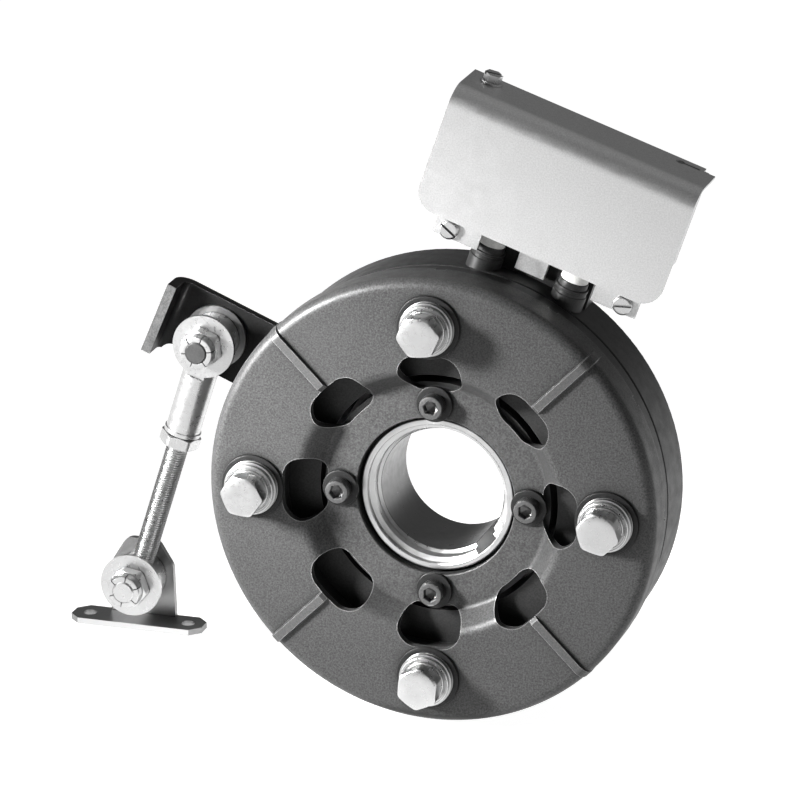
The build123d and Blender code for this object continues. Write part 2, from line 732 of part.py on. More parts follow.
def jam_nut():
    top = -SLEEVE_END - RUN_GAP
    nut = Pos(0, 0, top - JAM_NUT_H) * Rot(0, 0, 12) * extrude(hexagon(NUT_AF), amount=JAM_NUT_H)
    corner_r = NUT_AF / math.sqrt(3)
    drop = 1.0
    cone = Pos(0, 0, top - drop / 2) * Cone(corner_r + 0.4, NUT_AF / 2, drop)
    other = Pos(0, 0, top - JAM_NUT_H + drop / 2) * Cone(NUT_AF / 2, corner_r + 0.4, drop)
    middle = stem(corner_r + 1, top - drop, top - JAM_NUT_H + drop)
    nut = nut & (cone + middle + other)
    return on_link(nut - stem(PIN_R + ROD_THREAD_FIT, top + 1, top - JAM_NUT_H - 1))


def threaded_rod():
    return on_link(stem(PIN_R, -ROD_START, -LINK_LENGTH + EYE_R - 3))


def lower_eye():
    body = eye(-LINK_LENGTH) - pin_hole(-LINK_LENGTH)
    return on_link(body - stem(PIN_R, -LINK_LENGTH + EYE_R + 1, -LINK_LENGTH + EYE_R - 3))


# ---- Foot ------------------------------------------------------------------------------------
def foot_bracket():
    """Foot plate with a rear lug that carries the lower pivot."""
    top = LOWER_Z - FOOT_DROP
    depths = (LUG_REAR - FOOT_DEPTH, LUG_REAR)
    plate = block(LOWER_X - FOOT_LENGTH / 2, LOWER_X + FOOT_LENGTH / 2, *depths, top - FOOT_T, top)
    plate = chamfer(plate.edges().filter_by(Axis.Z), FOOT_CHAMFER)
    half = LUG_WIDTH / 2
    outline = FilletPolyline(
        (LOWER_X - half - 1, top - 1),
        (LOWER_X - half, LOWER_Z + 6),
        (LOWER_X - half * 0.5, LOWER_Z + LUG_RISE),
        (LOWER_X + half * 0.5, LOWER_Z + LUG_RISE),
        (LOWER_X + half, LOWER_Z + 6),
        (LOWER_X + half + 1, top - 1),
        radius=[0, 6, 6, 6, 6, 0],
        close=True,
    )
    foot = plate + slab(make_face(outline), LUG_FRONT, LUG_REAR)
    foot = foot - rod_y(LOWER_X, LOWER_Z, PIN_R, LUG_FRONT - 1, LUG_REAR + 1)
    middle_y = PLATE_FRONT_Y + sum(depths) / 2
    for side in (-1, 1):
        x = LOWER_X + side * FOOT_HOLE_SPACING / 2
        foot = foot - Pos(x, middle_y, top) * Cylinder(FOOT_HOLE_R, 4 * FOOT_T)
    return foot


# ---- Terminals and conduit box ---------------------------------------------------------------
def terminal_bar(side, radius, start, end):
    """A round bar along the terminals' radius, from one distance to another."""
    y = PLATE_FRONT_Y + TERMINAL_DEPTH
    bar = Pos(side * TERMINAL_SIDE, y, (start + end) / 2) * Cylinder(radius, end - start)
    return upright_at(TERMINAL_ANGLE) * bar


def field_surface():
    return ring_y(FIELD_R, FIELD_R - 30, 0, REAR + 10)


def terminal_boss(side):
    boss = terminal_bar(side, BOSS_R, FIELD_R - 8, BOSS_TOP) - field_surface()
    return boss - terminal_bar(side, STUD_R, FIELD_R - 9, BOSS_TOP + 1)


def terminal_cup(side):
    cup = terminal_bar(side, CUP_OUT_R, BOSS_TOP, BOX_FLOOR - 0.6)
    return cup - terminal_bar(side, STUD_R, BOSS_TOP - 1, BOX_FLOOR + 1)


def terminal_stud(side):
    return terminal_bar(side, STUD_R, COIL_OUT_R - 3, BOX_FLOOR + 9)


def terminal_pad():
    """Cast pad behind the terminals, hollowed round them, whose front face carries the stand."""
    half = PAD_HALF_WIDTH
    pad = upright_at(TERMINAL_ANGLE) * block(-half, half, STAND_DEPTHS[1], PAD_END, FIELD_R - 8, PAD_TOP)
    pockets = [terminal_bar(side, BOSS_R + 0.4, FIELD_R - 10, PAD_TOP + 1) for side in (-1, 1)]
    return cut_all(pad, [field_surface()] + pockets)


def box_stand():
    half = STAND_WIDTH / 2
    return upright_at(BOX_ANGLE) * block(-half, half, *STAND_DEPTHS, STAND_LOW, BOX_FLOOR)


def in_box(shape):
    return upright_at(BOX_ANGLE) * Pos(BOX_SHIFT, 0, 0) * shape


def conduit_base():
    """Tray behind the cover: floor, back, two ends and two top tabs."""
    half = BOX_WIDTH / 2 - BOX_END_INSET
    front = BOX_FRONT + SHEET_T + 0.3
    back = BOX_BACK - 0.2
    low, high = BOX_FLOOR, BOX_HIGH - SHEET_T
    tray = block(-half, half, front, back, low, low + SHEET_T)
    tray = tray + block(-half, half, back - SHEET_T, back, low, high)
    for side in (-1, 1):
        inner, outer = sorted((side * (half - SHEET_T), side * half))
        end = block(inner, outer, front, back, low, high)
        corner = end.edges().filter_by(Axis.X).group_by(Axis.Z)[-1].sort_by(Axis.Y)[0]
        tray = tray + fillet(corner, BOX_BEND_R)
        inner, outer = sorted((side * 40, side * half))
        tray = tray + block(inner, outer, back - 14, back, high - SHEET_T, high)
    tray = tray - Pos(TOP_SCREW_SIDE, PLATE_FRONT_Y + TOP_SCREW_DEPTH, high) * Cylinder(PAN_SCREW_R, 6)
    entry_y = PLATE_FRONT_Y + (front + back) / 2
    tray = tray - Pos(-half, entry_y, low + 26) * Rot(0, 90, 0) * Cylinder(KNOCKOUT_R, 6)
    tray = in_box(tray)
    return cut_all(tray, [terminal_bar(side, STUD_R + 1, low - 5, low + 6) for side in (-1, 1)])


def ear_bracket(side):
    """Angle piece under the tray's floor, with a screw hole near its lower edge."""
    inner, outer = sorted((side * EAR_START, side * EAR_END))
    back = EAR_FRONT + SHEET_T
    ear = block(inner, outer, EAR_FRONT, back, EAR_LOW, BOX_FLOOR)
    ear = ear + block(inner, outer, EAR_FRONT, EAR_FRONT + EAR_FLANGE, BOX_FLOOR - SHEET_T, BOX_FLOOR)
    return in_box(ear - rod_y(side * EAR_SCREW_SIDE, EAR_SCREW_N, PAN_SCREW_R, EAR_FRONT - 1, back + 1))


def conduit_cover():
    """Bent cover: a front panel with rounded lower corners, rolled over into the top."""
    cover = bent_sheet(
        [
            (BOX_FRONT, BOX_LOW),
            (BOX_FRONT, BOX_HIGH),
            (BOX_BACK, BOX_HIGH),
            (BOX_BACK, BOX_HIGH - SHEET_T),
            (BOX_FRONT + SHEET_T, BOX_HIGH - SHEET_T),
            (BOX_FRONT + SHEET_T, BOX_LOW),
        ],
        {1: BOX_BEND_R, 4: BOX_BEND_R - SHEET_T},
        BOX_WIDTH / 2,
    )
    cover = fillet(cover.edges().filter_by(Axis.Y).group_by(Axis.Z)[0], BOX_CORNER_R)
    top_y = PLATE_FRONT_Y + TOP_SCREW_DEPTH
    cover = cover - Pos(TOP_SCREW_SIDE, top_y, BOX_HIGH) * Cylinder(PAN_SCREW_R, 6)
    keyhole_x = BOX_WIDTH / 2 - 18
    cover = cover - Pos(keyhole_x, top_y + 3, BOX_HIGH) * Cylinder(2.2, 6)
    cover = cover - Pos(keyhole_x + 5, top_y + 3, BOX_HIGH) * Box(10, 1.8, 6)
    side = BOX_WIDTH / 2
    corner = block(side - 6, side + 1, BOX_BACK - 5, BOX_BACK + 1, BOX_HIGH - 3, BOX_HIGH + 1)
    return in_box(cover - corner)


def ear_screw(side, slot_angle):
    x = side * EAR_SCREW_SIDE
    head = rod_y(x, EAR_SCREW_N, PAN_HEAD_R, EAR_FRONT - PAN_HEAD_H, EAR_FRONT)
    head = fillet(head.edges().group_by(Axis.Y)[0], 1.2)
    slot = Pos(x, EAR_SCREW_N) * Rot(0, 0, slot_angle) * Rectangle(3 * PAN_HEAD_R, 1.3)
    head = head - slab(slot, EAR_FRONT - PAN_HEAD_H - 1, EAR_FRONT - PAN_HEAD_H + 1.3)
    return in_box(head + rod_y(x, EAR_SCREW_N, PAN_SCREW_R, EAR_FRONT, EAR_FRONT + 5))


def top_screw():
    """Slotted hexagon screw with a washer flange, down through the cover's top."""
    head = Cylinder(5.6, 1.2, align=(Align.CENTER, Align.CENTER, Align.MIN))
    head = head + Pos(0, 0, 1.2) * extrude(Rot(0, 0, 18) * hexagon(TOP_SCREW_AF), amount=3.6)
    head = head - Pos(0, 0, 4.8) * Rot(0, 0, 30) * Box(14, 1.3, 2.4)
    screw = head + stem(PAN_SCREW_R, 0, -8)
    return in_box(Pos(TOP_SCREW_SIDE, PLATE_FRONT_Y + TOP_SCREW_DEPTH, BOX_HIGH) * screw)


# ---- Assembly --------------------------------------------------------------------------------
def assembly():
    """Every node, grouped by the body that it moves with."""
    front, rear = FRONT_BEARING, REAR_BEARING
    field = {
        "field_shell": field_shell(),
        "coil_bobbin": coil_bobbin(),
        "coil_winding": coil_winding(),
        "coil_potting": coil_potting(),
        "field_bearing_outer_ring": bearing_outer(rear),
        "field_snap_ring": snap_ring(rear["outer"] + 1.6, rear["outer"] - 2.9, REAR_SNAP, 60),
        "terminal_bosses": compound(terminal_boss(side) for side in (-1, 1)),
        "terminal_bushings": compound(terminal_cup(side) for side in (-1, 1)),
        "terminal_studs": compound(terminal_stud(side) for side in (-1, 1)),
        "terminal_pad": terminal_pad(),
        "box_stand": box_stand(),
        "conduit_base": conduit_base(),
        "ear_brackets": compound(ear_bracket(side) for side in (-1, 1)),
        "conduit_cover": conduit_cover(),
        "ear_screws": compound(ear_screw(*item) for item in zip((-1, 1), PAN_SLOT_ANGLES)),
        "cover_screw": top_screw(),
        "torque_bracket": torque_bracket(),
        "bracket_screws": compound(bracket_screw(side) for side in (-1, 1)),
        "upper_pivot_bolt": pivot_bolt(PIVOT_X, PIVOT_Z, REAR + BRACKET_T),
        "upper_rear_washer": pivot_washer(PIVOT_X, PIVOT_Z, REAR_WASHER_FRONT),
        "upper_front_washer": pivot_washer(PIVOT_X, PIVOT_Z, NUT_REAR),
        "upper_crown_nut": crown_nut(PIVOT_X, PIVOT_Z, 14),
    }
    rotor = {
        "rotor_hub": rotor_hub(),
        "pole_ring": pole_ring(),
        "friction_lining": friction_lining(),
        "rotor_screws": rotor_screws(),
        "field_bearing_inner_ring": bearing_inner(rear),
        "front_bearing_inner_ring": bearing_inner(front),
        "hub_rear_snap_ring": snap_ring(REAR_SEAT_R + 2.6, REAR_SEAT_R - 1.6, REAR_SNAP, 100),
        "hub_front_snap_ring": snap_ring(HUB_NOSE_R + 3.2, HUB_NOSE_R - 1.4, FRONT_SNAP, 120),
    }
    bearings = {
        "field_bearing_balls": bearing_balls(rear),
        "field_bearing_cage": bearing_cage(rear),
        "front_bearing_balls": bearing_balls(front),
        "front_bearing_cage": bearing_cage(front),
    }
    output = {
        "drive_plate": drive_plate(),
        "output_ring": output_ring(),
        "cap_screws": compound(round_circle(cap_screw, SCREW_PCR, 4)),
        "cap_screw_washers": compound(round_circle(screw_washer, SCREW_PCR, 4)),
        "spring_seats": compound(round_circle(spring_seat, BOLT_PCR, 4)),
        "disc_springs": disc_springs(),
        "front_bearing_outer_ring": bearing_outer(front),
        "output_snap_ring": snap_ring(front["outer"] + 1.6, front["outer"] - 3.2, OUTPUT_SNAP, 80),
    }
    armature = {
        "armature_ring": armature_ring(),
        "armature_bolts": compound(round_circle(armature_bolt, BOLT_PCR, 4)),
        "lock_washers": compound(round_circle(lock_washer, BOLT_PCR, 4)),
        "spring_cups": compound(round_circle(spring_cup, BOLT_PCR, 4)),
    }
    link = {
        "eye_sleeve": eye_sleeve(),
        "jam_nut": jam_nut(),
        "threaded_rod": threaded_rod(),
        "lower_eye": lower_eye(),
        "foot_bracket": foot_bracket(),
        "lower_pivot_bolt": pivot_bolt(LOWER_X, LOWER_Z, LUG_REAR),
        "lower_washer": pivot_washer(LOWER_X, LOWER_Z, NUT_REAR),
        "lower_crown_nut": crown_nut(LOWER_X, LOWER_Z, 22),
    }
    return field | rotor | bearings | output | armature | link


os.makedirs("parts", exist_ok=True)
for node, shape in assembly().items():
    export_step(shape, f"parts/{node}.step")
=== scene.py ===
import json
import math

import bmesh
import bpy
from mathutils import Matrix, Vector


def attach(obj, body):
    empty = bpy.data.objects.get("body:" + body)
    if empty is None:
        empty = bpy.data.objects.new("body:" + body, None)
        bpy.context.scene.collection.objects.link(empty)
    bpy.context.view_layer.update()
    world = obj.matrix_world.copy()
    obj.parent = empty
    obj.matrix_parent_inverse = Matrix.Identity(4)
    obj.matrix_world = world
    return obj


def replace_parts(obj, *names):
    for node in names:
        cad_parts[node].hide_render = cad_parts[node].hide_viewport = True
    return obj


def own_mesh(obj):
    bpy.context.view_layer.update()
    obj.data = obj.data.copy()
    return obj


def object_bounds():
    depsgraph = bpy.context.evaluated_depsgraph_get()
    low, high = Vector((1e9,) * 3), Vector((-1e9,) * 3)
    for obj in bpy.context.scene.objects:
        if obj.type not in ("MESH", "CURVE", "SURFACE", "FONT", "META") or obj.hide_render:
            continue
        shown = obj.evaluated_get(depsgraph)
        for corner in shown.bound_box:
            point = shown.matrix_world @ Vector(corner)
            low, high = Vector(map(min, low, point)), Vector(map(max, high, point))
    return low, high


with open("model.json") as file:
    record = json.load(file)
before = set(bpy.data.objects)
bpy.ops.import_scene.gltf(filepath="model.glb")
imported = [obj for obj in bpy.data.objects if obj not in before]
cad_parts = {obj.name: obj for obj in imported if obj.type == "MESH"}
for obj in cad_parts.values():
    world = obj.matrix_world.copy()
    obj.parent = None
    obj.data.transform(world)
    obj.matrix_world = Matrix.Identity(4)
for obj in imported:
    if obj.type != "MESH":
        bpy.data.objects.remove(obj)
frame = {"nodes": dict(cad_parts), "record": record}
cad_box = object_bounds()

# Millimetres here, metres in the meshes. "Depth" runs back from the drive plate's front face.
MM = 0.001
PLATE_FRONT_Y = -42.5
HEX_COUNT = 180          # points round a hexagon

# Drive plate
PLATE_R = 112.3
PLATE_T = 4.0
PLATE_FLANGE = 20.0
PLATE_HOLE_R = 39.9
DISH_DEPTH = 10.7
DISH_R = 57.0
RAMP_R = 66.0
RIM_BEND_R = 5.5
KIDNEY_PCR = 64.4
KIDNEY_LENGTH = 32.0
KIDNEY_WIDTH = 20.0
RIB_ANGLES = (45, 135, 225, 315)
RIB_WIDTH = 4.8
RIB_HEIGHT = 2.0
RIB_SIDE_LIFT = 0.4
RIB_START_R = 74.5
NOTCH_WIDTH = 5.0
NOTCH_DEPTH = 2.4

# Bolt stacks and cap screws
BOLT_PCR = 89.0
BOLT_R = 6.35
BOLT_HOLE_R = BOLT_R + 1.4
BOLT_FIT_R = BOLT_R + 0.15              # the bores of the cups and the lock washers
BOLT_AF = 19.05
BOLT_TURNS = (15.3, -23.7, 24.0, -4.7)  # at right, top, left and bottom
SEAT_R = 15.7
SEAT_T = 1.5
SPRING_R = 13.3
SPRING_T = 0.9
SPRING_CONE = 0.5
SPRING_PITCH = SPRING_T + SPRING_CONE
SPRING_STACK = 3 * SPRING_PITCH
CUP_LOW = SEAT_T + SPRING_STACK         # heights in front of the plate
CUP_R = 12.4
CUP_T = 2.4
LOCK_LOW = CUP_LOW + CUP_T
LOCK_R = 9.4
LOCK_T = 2.6
LOCK_GAP = 8.0                          # degrees between a lock washer's ends
LOCK_TURNS = (205.0, 100.0, 250.0, 150.0)
HEAD_LOW = LOCK_LOW + LOCK_T
HEAD_H = 8.0
ARMATURE_REAR = 15.0
SCREW_PCR = 47.5
SCREW_R = 3.97
SCREW_HOLE_R = 4.3
SCREW_END = 5.5          # past the plate's rear face
SCREW_HEAD_R = 5.95
SCREW_HEAD_H = 6.3
SCREW_WASHER_R = 9.0
SCREW_WASHER_T = 2.0
SCREW_SOCKET_AF = 6.35
SOCKET_DEPTH = 3.8

# Rotor hub
SHADED_BORE_R = 31.2           # everything nearer the shaft axis is the bore, painted darker as painted shade

# Torque arm
BRACKET_ANGLE = 157.5
BRACKET_TIP = 47.5
PIVOT_R = 140.0
LINK_LENGTH = 135.2
LINK_LEAN = 17.2
PIN_R = 5.56
THREAD_FIT = 0.07
NUT_AF = 18.3
NUT_H = 6.5
CROWN_R = 8.45
CROWN_H = 4.4
CROWN_TURNS = (8.0, 20.0)               # of the upper and the lower nut
SLIT_WIDTH = 0.5
FOOT_FRONT = 44.4                       # depth up to which the foot's front edge is painted lighter, a painted highlight
EYE_R = 12.5
ROD_START = 26.0
RUN_GAP = 0.3
JAM_NUT_TURN = -18.0
NUT_REAR = 42.4
EYE_MID = 52.2
SLEEVE_END = 50.7
JAM_NUT_H = 6.5
THREAD_PITCH = 1.27
THREAD_DEPTH = 0.62

# Terminals; the boss heights are distances from the shaft axis
TERMINAL_ANGLE = 71.0
TERMINAL_SIDE = 22.0
TERMINAL_DEPTH = 42.0
BOSS_FOOT = 104.0
BOSS_TOP = 120.0
BOSS_R = 8.4
STUD_R = 2.5

# Camera at the photograph's viewing angle
CAMERA_AZIMUTH = 17.75
CAMERA_ELEVATION = 18.33
CAMERA_DISTANCE = 2700.0
CAMERA_TARGET = (-27.93, 0.0, 36.33)
CAMERA_LENS = 249.8

# Light: how much the floor glows, and how bright the room is before and behind the object
FLOOR_GLOW = 0.97
ROOM_FRONT = 0.10
ROOM_BACK = 0.16


# ---- Meshes ----------------------------------------------------------------------------------
def finish_mesh(obj):
    """Smooth faces with sharp edges kept."""
    for polygon in obj.data.polygons:
        polygon.use_smooth = True
    obj.data.set_sharp_from_angle(angle=math.radians(32.0))
    return obj


def bevel(obj, width, segments, angle):
    """Rounds the edges sharper than the angle in degrees; the width is in millimetres."""
    modifier = obj.modifiers.new("edges", "BEVEL")
    modifier.width = width * MM
    modifier.segments = segments
    modifier.limit_method = "ANGLE"
    modifier.angle_limit = math.radians(angle)
    modifier.harden_normals = True


def new_object(name, mesh_builder):
    """An object at the origin, from a bmesh in millimetres."""
    bm = bmesh.new()
    mesh_builder(bm)
    bmesh.ops.recalc_face_normals(bm, faces=bm.faces)
    bmesh.ops.scale(bm, vec=(MM, MM, MM), verts=bm.verts)
    mesh = bpy.data.meshes.new(name)
    bm.to_mesh(mesh)
    bm.free()
    obj = bpy.data.objects.new(name, mesh)
    bpy.context.scene.collection.objects.link(obj)
    return finish_mesh(obj)


def skin(bm, loops, place, ring=False, cap_first=False, cap_last=False):
    """Quads between loops of points; ring joins the last loop to the first."""
    rows = [[bm.verts.new(place @ Vector(point)) for point in loop] for loop in loops]
    pairs = list(zip(rows, rows[1:]))
    if ring:
        pairs.append((rows[-1], rows[0]))
    for low, high in pairs:
        for i in range(len(low)):
            j = (i + 1) % len(low)
            bm.faces.new((low[i], low[j], high[j], high[i]))
    if cap_first:
        bm.faces.new(list(reversed(rows[0])))
    if cap_last:
        bm.faces.new(rows[-1])


def polar(radius, angle):
    return radius * math.cos(math.radians(angle)), radius * math.sin(math.radians(angle))


def circle(radius, height, count):
    """A loop about the local Z axis; radius may be a function of the angle in degrees."""
    loop = []
    for i in range(count):
        angle = 360.0 * i / count
        r = radius(angle) if callable(radius) else radius
        loop.append((*polar(r, angle), height))
    return loop


def rounded(corners, radii, steps=6):
    """A closed outline whose corners are turned into arcs; radii by corner index."""
    outline = []
    count = len(corners)
    for i in range(count):
        here = Vector(corners[i])
        radius = radii.get(i, 0.0)
        if not radius:
            outline.append(here)
            continue
        before = (Vector(corners[i - 1]) - here).normalized()
        after = (Vector(corners[(i + 1) % count]) - here).normalized()
        half = before.angle(after) / 2
        reach = radius / math.tan(half)
        centre = here + (before + after).normalized() * (radius / math.sin(half))
        first = here + before * reach - centre
        last = here + after * reach - centre
        sweep = first.angle_signed(last)
        for k in range(steps + 1):
            turn = -sweep * k / steps
            x = first.x * math.cos(turn) - first.y * math.sin(turn)
            y = first.x * math.sin(turn) + first.y * math.cos(turn)
            outline.append(centre + Vector((x, y)))
    return outline


def on_link():
    """The upper pivot at the origin and the torque link along -Z."""
    x, z = polar(PIVOT_R, BRACKET_ANGLE)
    centre = Matrix.Translation((x, PLATE_FRONT_Y + EYE_MID, z))
    return centre @ Matrix.Rotation(math.radians(LINK_LEAN), 4, "Y")


def facing(x=0.0, z=0.0, turn=0.0):
    """Local X is +X, local Y is +Z, and local Z points forwards, so a height is minus a depth."""
    axes = Matrix(((1, 0, 0), (0, 0, -1), (0, 1, 0))).to_4x4()
    place = Matrix.Translation((x, PLATE_FRONT_Y, z)) @ axes
    return place @ Matrix.Rotation(math.radians(turn), 4, "Z")


def bolt_places():
    return [facing(*polar(BOLT_PCR, i * 90)) for i in range(4)]


def screw_places():
    return [facing(*polar(SCREW_PCR, i * 90)) for i in range(4)]


def turned(bm, profile, place, count=128):
    """A ring from a closed outline of (radius, height) points."""
    skin(bm, [circle(r, h, count) for r, h in profile], place, ring=True)


def hex_radius(across_flats, corner=0.45):
    """Radius of a hexagon with slightly rounded corners, as a function of the angle."""
    flat = across_flats / 2
    limit = flat / math.cos(math.radians(30)) - corner

    def radius(angle):
        off = math.radians((angle % 60.0) - 30.0)
        sharp = flat / math.cos(off)
        return limit + (sharp - limit) * 0.15 if sharp > limit else sharp

    return radius


def hex_loops(across_flats, levels):
    """Loops of a hexagon whose corners are cut to a radius, from (radius, height) levels."""
    outline = hex_radius(across_flats)
    return [circle(lambda a, r=r: min(outline(a - 30), r), h, HEX_COUNT) for r, h in levels]


def hex_cone(across_flats, face, slope, steps):
    """(radius, drop) down the cone that trims a hexagon's end, from a share of the flats' radius."""
    start = across_flats / 2 * face
    reach = across_flats / 2 / math.cos(math.radians(30)) - start
    return [(start + reach * s, slope * reach * s) for s in steps]


def hex_prism(bm, across_flats, low, high, place, turn, hole=0.0):
    """Hexagon between two heights, its upper end cut to a cone, and its lower one too if it has a hole."""
    slope = math.tan(math.radians(28))
    cone = hex_cone(across_flats, 0.96, slope, (0.0, 0.12, 0.25, 0.4, 0.55, 0.7, 0.85, 1.0))
    levels = [(r, low + d) for r, d in cone] if hole else [(across_flats, low)]
    levels += [(r, high - d) for r, d in reversed(cone)]
    loops = hex_loops(across_flats, levels)
    place = place @ Matrix.Rotation(math.radians(turn), 4, "Z")
    if hole:
        bore = [(hole + 0.5, high), (hole, high - 0.5), (hole, low + 0.5), (hole + 0.5, low)]
        loops += [circle(r, h, HEX_COUNT) for r, h in bore]
        skin(bm, loops, place, ring=True)
    else:
        loops.insert(0, circle(1.0, low, HEX_COUNT))
        loops.append(circle(across_flats / 4, high, HEX_COUNT))
        skin(bm, loops, place, cap_first=True, cap_last=True)


def washer(bm, inner, outer, low, high, place, edge):
    """A flat ring between two heights with softened corners."""
    corners = [(inner, low), (outer, low), (outer, high), (inner, high)]
    turned(bm, rounded(corners, {i: edge for i in range(4)}, 3), place)


def prism(bm, outline, low, high, place):
    """An outline of (x, y) points between two heights."""
    skin(bm, [[(x, y, h) for x, y in outline] for h in (low, high)], place, cap_first=True, cap_last=True)


def cut(obj, name, mesh_builder):
    """Cuts the built shape out of the object and applies the result."""
    tool = new_object(name, mesh_builder)
    modifier = obj.modifiers.new("cut", "BOOLEAN")
    modifier.operation = "DIFFERENCE"
    modifier.solver = "EXACT"
    modifier.object = tool
    bpy.context.view_layer.update()
    graph = bpy.context.evaluated_depsgraph_get()
    mesh = bpy.data.meshes.new_from_object(obj.evaluated_get(graph))
    obj.modifiers.remove(modifier)
    old = obj.data
    obj.data = mesh
    bpy.data.meshes.remove(old)
    bpy.data.objects.remove(tool)
    finish_mesh(obj)


# ---- Materials -------------------------------------------------------------------------------
class Nodes:
    """A few words for building a node tree."""

    def __init__(self, name):
        self.material = bpy.data.materials.new(name)
        self.material.use_nodes = True
        self.tree = self.material.node_tree
        self.shader = self.tree.nodes["Principled BSDF"]
        self.place = self.add("ShaderNodeTexCoord").outputs["Object"]

    def add(self, kind, **values):
        node = self.tree.nodes.new(kind)
        for key, value in values.items():
            setattr(node, key, value)
        return node

    def link(self, source, target):
        self.tree.links.new(source, target)

    def put(self, target, value):
        """A number, a colour or another node's output."""
        if isinstance(value, bpy.types.NodeSocket):
            self.link(value, target)
        else:
            target.default_value = value

    def noise(self, scale, detail=3.0, roughness=0.55, stretch=None):
        place = self.place
        if stretch:
            mapping = self.add("ShaderNodeMapping")
            mapping.inputs["Scale"].default_value = stretch
            self.link(place, mapping.inputs["Vector"])
            place = mapping.outputs["Vector"]
        node = self.add("ShaderNodeTexNoise")
        self.link(place, node.inputs["Vector"])
        node.inputs["Scale"].default_value = scale
        node.inputs["Detail"].default_value = detail
        node.inputs["Roughness"].default_value = roughness
        return node.outputs["Fac"]

    def ramp(self, value, *stops):
        """Maps 0..1 to numbers or colours at the given stops."""
        node = self.add("ShaderNodeValToRGB")
        self.link(value, node.inputs["Fac"])
        elements = node.color_ramp.elements
        while len(elements) < len(stops):
            elements.new(0.5)
        for element, (position, colour) in zip(elements, stops):
            element.position = position
            if not hasattr(colour, "__len__"):
                colour = (colour, colour, colour)
            element.color = (*colour, 1.0)
        return node.outputs["Color"]

    def between(self, noise, low, high):
        """Maps a noise's usual range to two numbers or colours."""
        return self.ramp(noise, (0.3, low), (0.7, high))

    def math(self, operation, first, second=0.0):
        node = self.add("ShaderNodeMath", operation=operation)
        self.put(node.inputs[0], first)
        self.put(node.inputs[1], second)
        return node.outputs[0]

    def mix(self, factor, first, second):
        node = self.add("ShaderNodeMix", data_type="RGBA")
        self.put(node.inputs["Factor"], factor)
        for socket, value in ((node.inputs[6], first), (node.inputs[7], second)):
            self.put(socket, value if isinstance(value, bpy.types.NodeSocket) else (*value, 1.0))
        return node.outputs[2]

    def bump(self, height, strength, distance):
        node = self.add("ShaderNodeBump")
        node.inputs["Strength"].default_value = strength
        node.inputs["Distance"].default_value = distance
        self.link(height, node.inputs["Height"])
        return node.outputs["Normal"]

    def edges(self, radius):
        """About 1 on outside edges and 0 elsewhere, for lighter edges: edge wear and a painted highlight.
        """
        node = self.add("ShaderNodeBevel", samples=4)
        node.inputs["Radius"].default_value = radius * MM
        dot = self.add("ShaderNodeVectorMath", operation="DOT_PRODUCT")
        self.link(node.outputs["Normal"], dot.inputs[0])
        self.link(self.add("ShaderNodeNewGeometry").outputs["Normal"], dot.inputs[1])
        return self.ramp(dot.outputs["Value"], (0.80, 1.0), (0.985, 0.0))

    def corner_shade(self, distance):
        """About 1 in the open and less in corners; used to paint shade into corners."""
        node = self.add("ShaderNodeAmbientOcclusion", samples=8)
        node.inputs["Distance"].default_value = distance * MM
        return node.outputs["AO"]

    def axes(self):
        """The surface point's X, Y and Z in metres."""
        parts = self.add("ShaderNodeSeparateXYZ")
        self.link(self.place, parts.inputs[0])
        return parts.outputs

    def before(self, depth):
        """1 on what lies in front of a depth, and 0 behind it."""
        return self.math("LESS_THAN", self.axes()[1], (PLATE_FRONT_Y + depth) * MM)

    def finish(self, colour, metallic, roughness, normal=None):
        self.put(self.shader.inputs["Base Color"], colour)
        self.put(self.shader.inputs["Metallic"], metallic)
        self.put(self.shader.inputs["Roughness"], roughness)
        if normal:
            self.link(normal, self.shader.inputs["Normal"])
        return self.material


def grey(value):
    return (value, value, value)


def coated(name, base, spread, roughness, specular):
    """A dark coating's nodes, with its colour, roughness and bump: fine grain and faint clouds."""
    n = Nodes(name)
    speckle = n.noise(1150, 2, 0.7)
    clouds = n.noise(32, 4, 0.6)
    fine = n.ramp(speckle, (0.32, grey(base - spread)), (0.68, grey(base + spread)))
    colour = n.mix(n.ramp(clouds, (0.35, 0.0), (0.75, 0.30)), fine, grey(base * 1.3))
    rough = n.between(n.noise(160, 4), roughness - 0.06, roughness + 0.07)
    n.shader.inputs["Specular IOR Level"].default_value = specular
    return n, colour, rough, n.bump(speckle, 0.25, 0.00012)


def dark_coating(name, base, spread, roughness, metallic, edge_wear_and_highlight, specular=0.5):
    """Phosphated or black-finished steel with lighter outside edges: edge wear and a painted highlight."""
    n, colour, rough, bump = coated(name, base, spread, roughness, specular)
    if edge_wear_and_highlight:
        # Lighter outside edges: edge wear and a painted highlight.
        colour = n.mix(n.math("MULTIPLY", n.edges(0.45), edge_wear_and_highlight), colour, grey(0.55))
    return n.finish(colour, metallic, rough, bump)


def plate_coating(name, base, spread, roughness):
    """The pressing's coating: painted highlight on the ribs' tops, lighter edges (edge wear and a painted
    highlight), and painted shade in the corners.
    """
    n, colour, rough, bump = coated(name, base, spread, roughness, 0.3)
    # Painted highlight: the ribs' tops are painted lighter.
    rib_top_highlight = n.before(-0.75 * RIB_HEIGHT)
    colour = n.mix(n.math("MULTIPLY", rib_top_highlight, 0.35), colour, grey(base * 2.2))
    # Lighter edges: edge wear and a painted highlight.
    colour = n.mix(n.math("MULTIPLY", n.edges(0.7), 0.55), colour, grey(0.5))
    # Painted shade in the corners, at the ribs' feet and at the ramp's foot.
    colour = n.mix(n.ramp(n.corner_shade(11.0), (0.55, 0.85), (0.93, 0.0)), colour, grey(base * 0.12))
    return n.finish(colour, 0.15, rough, bump)


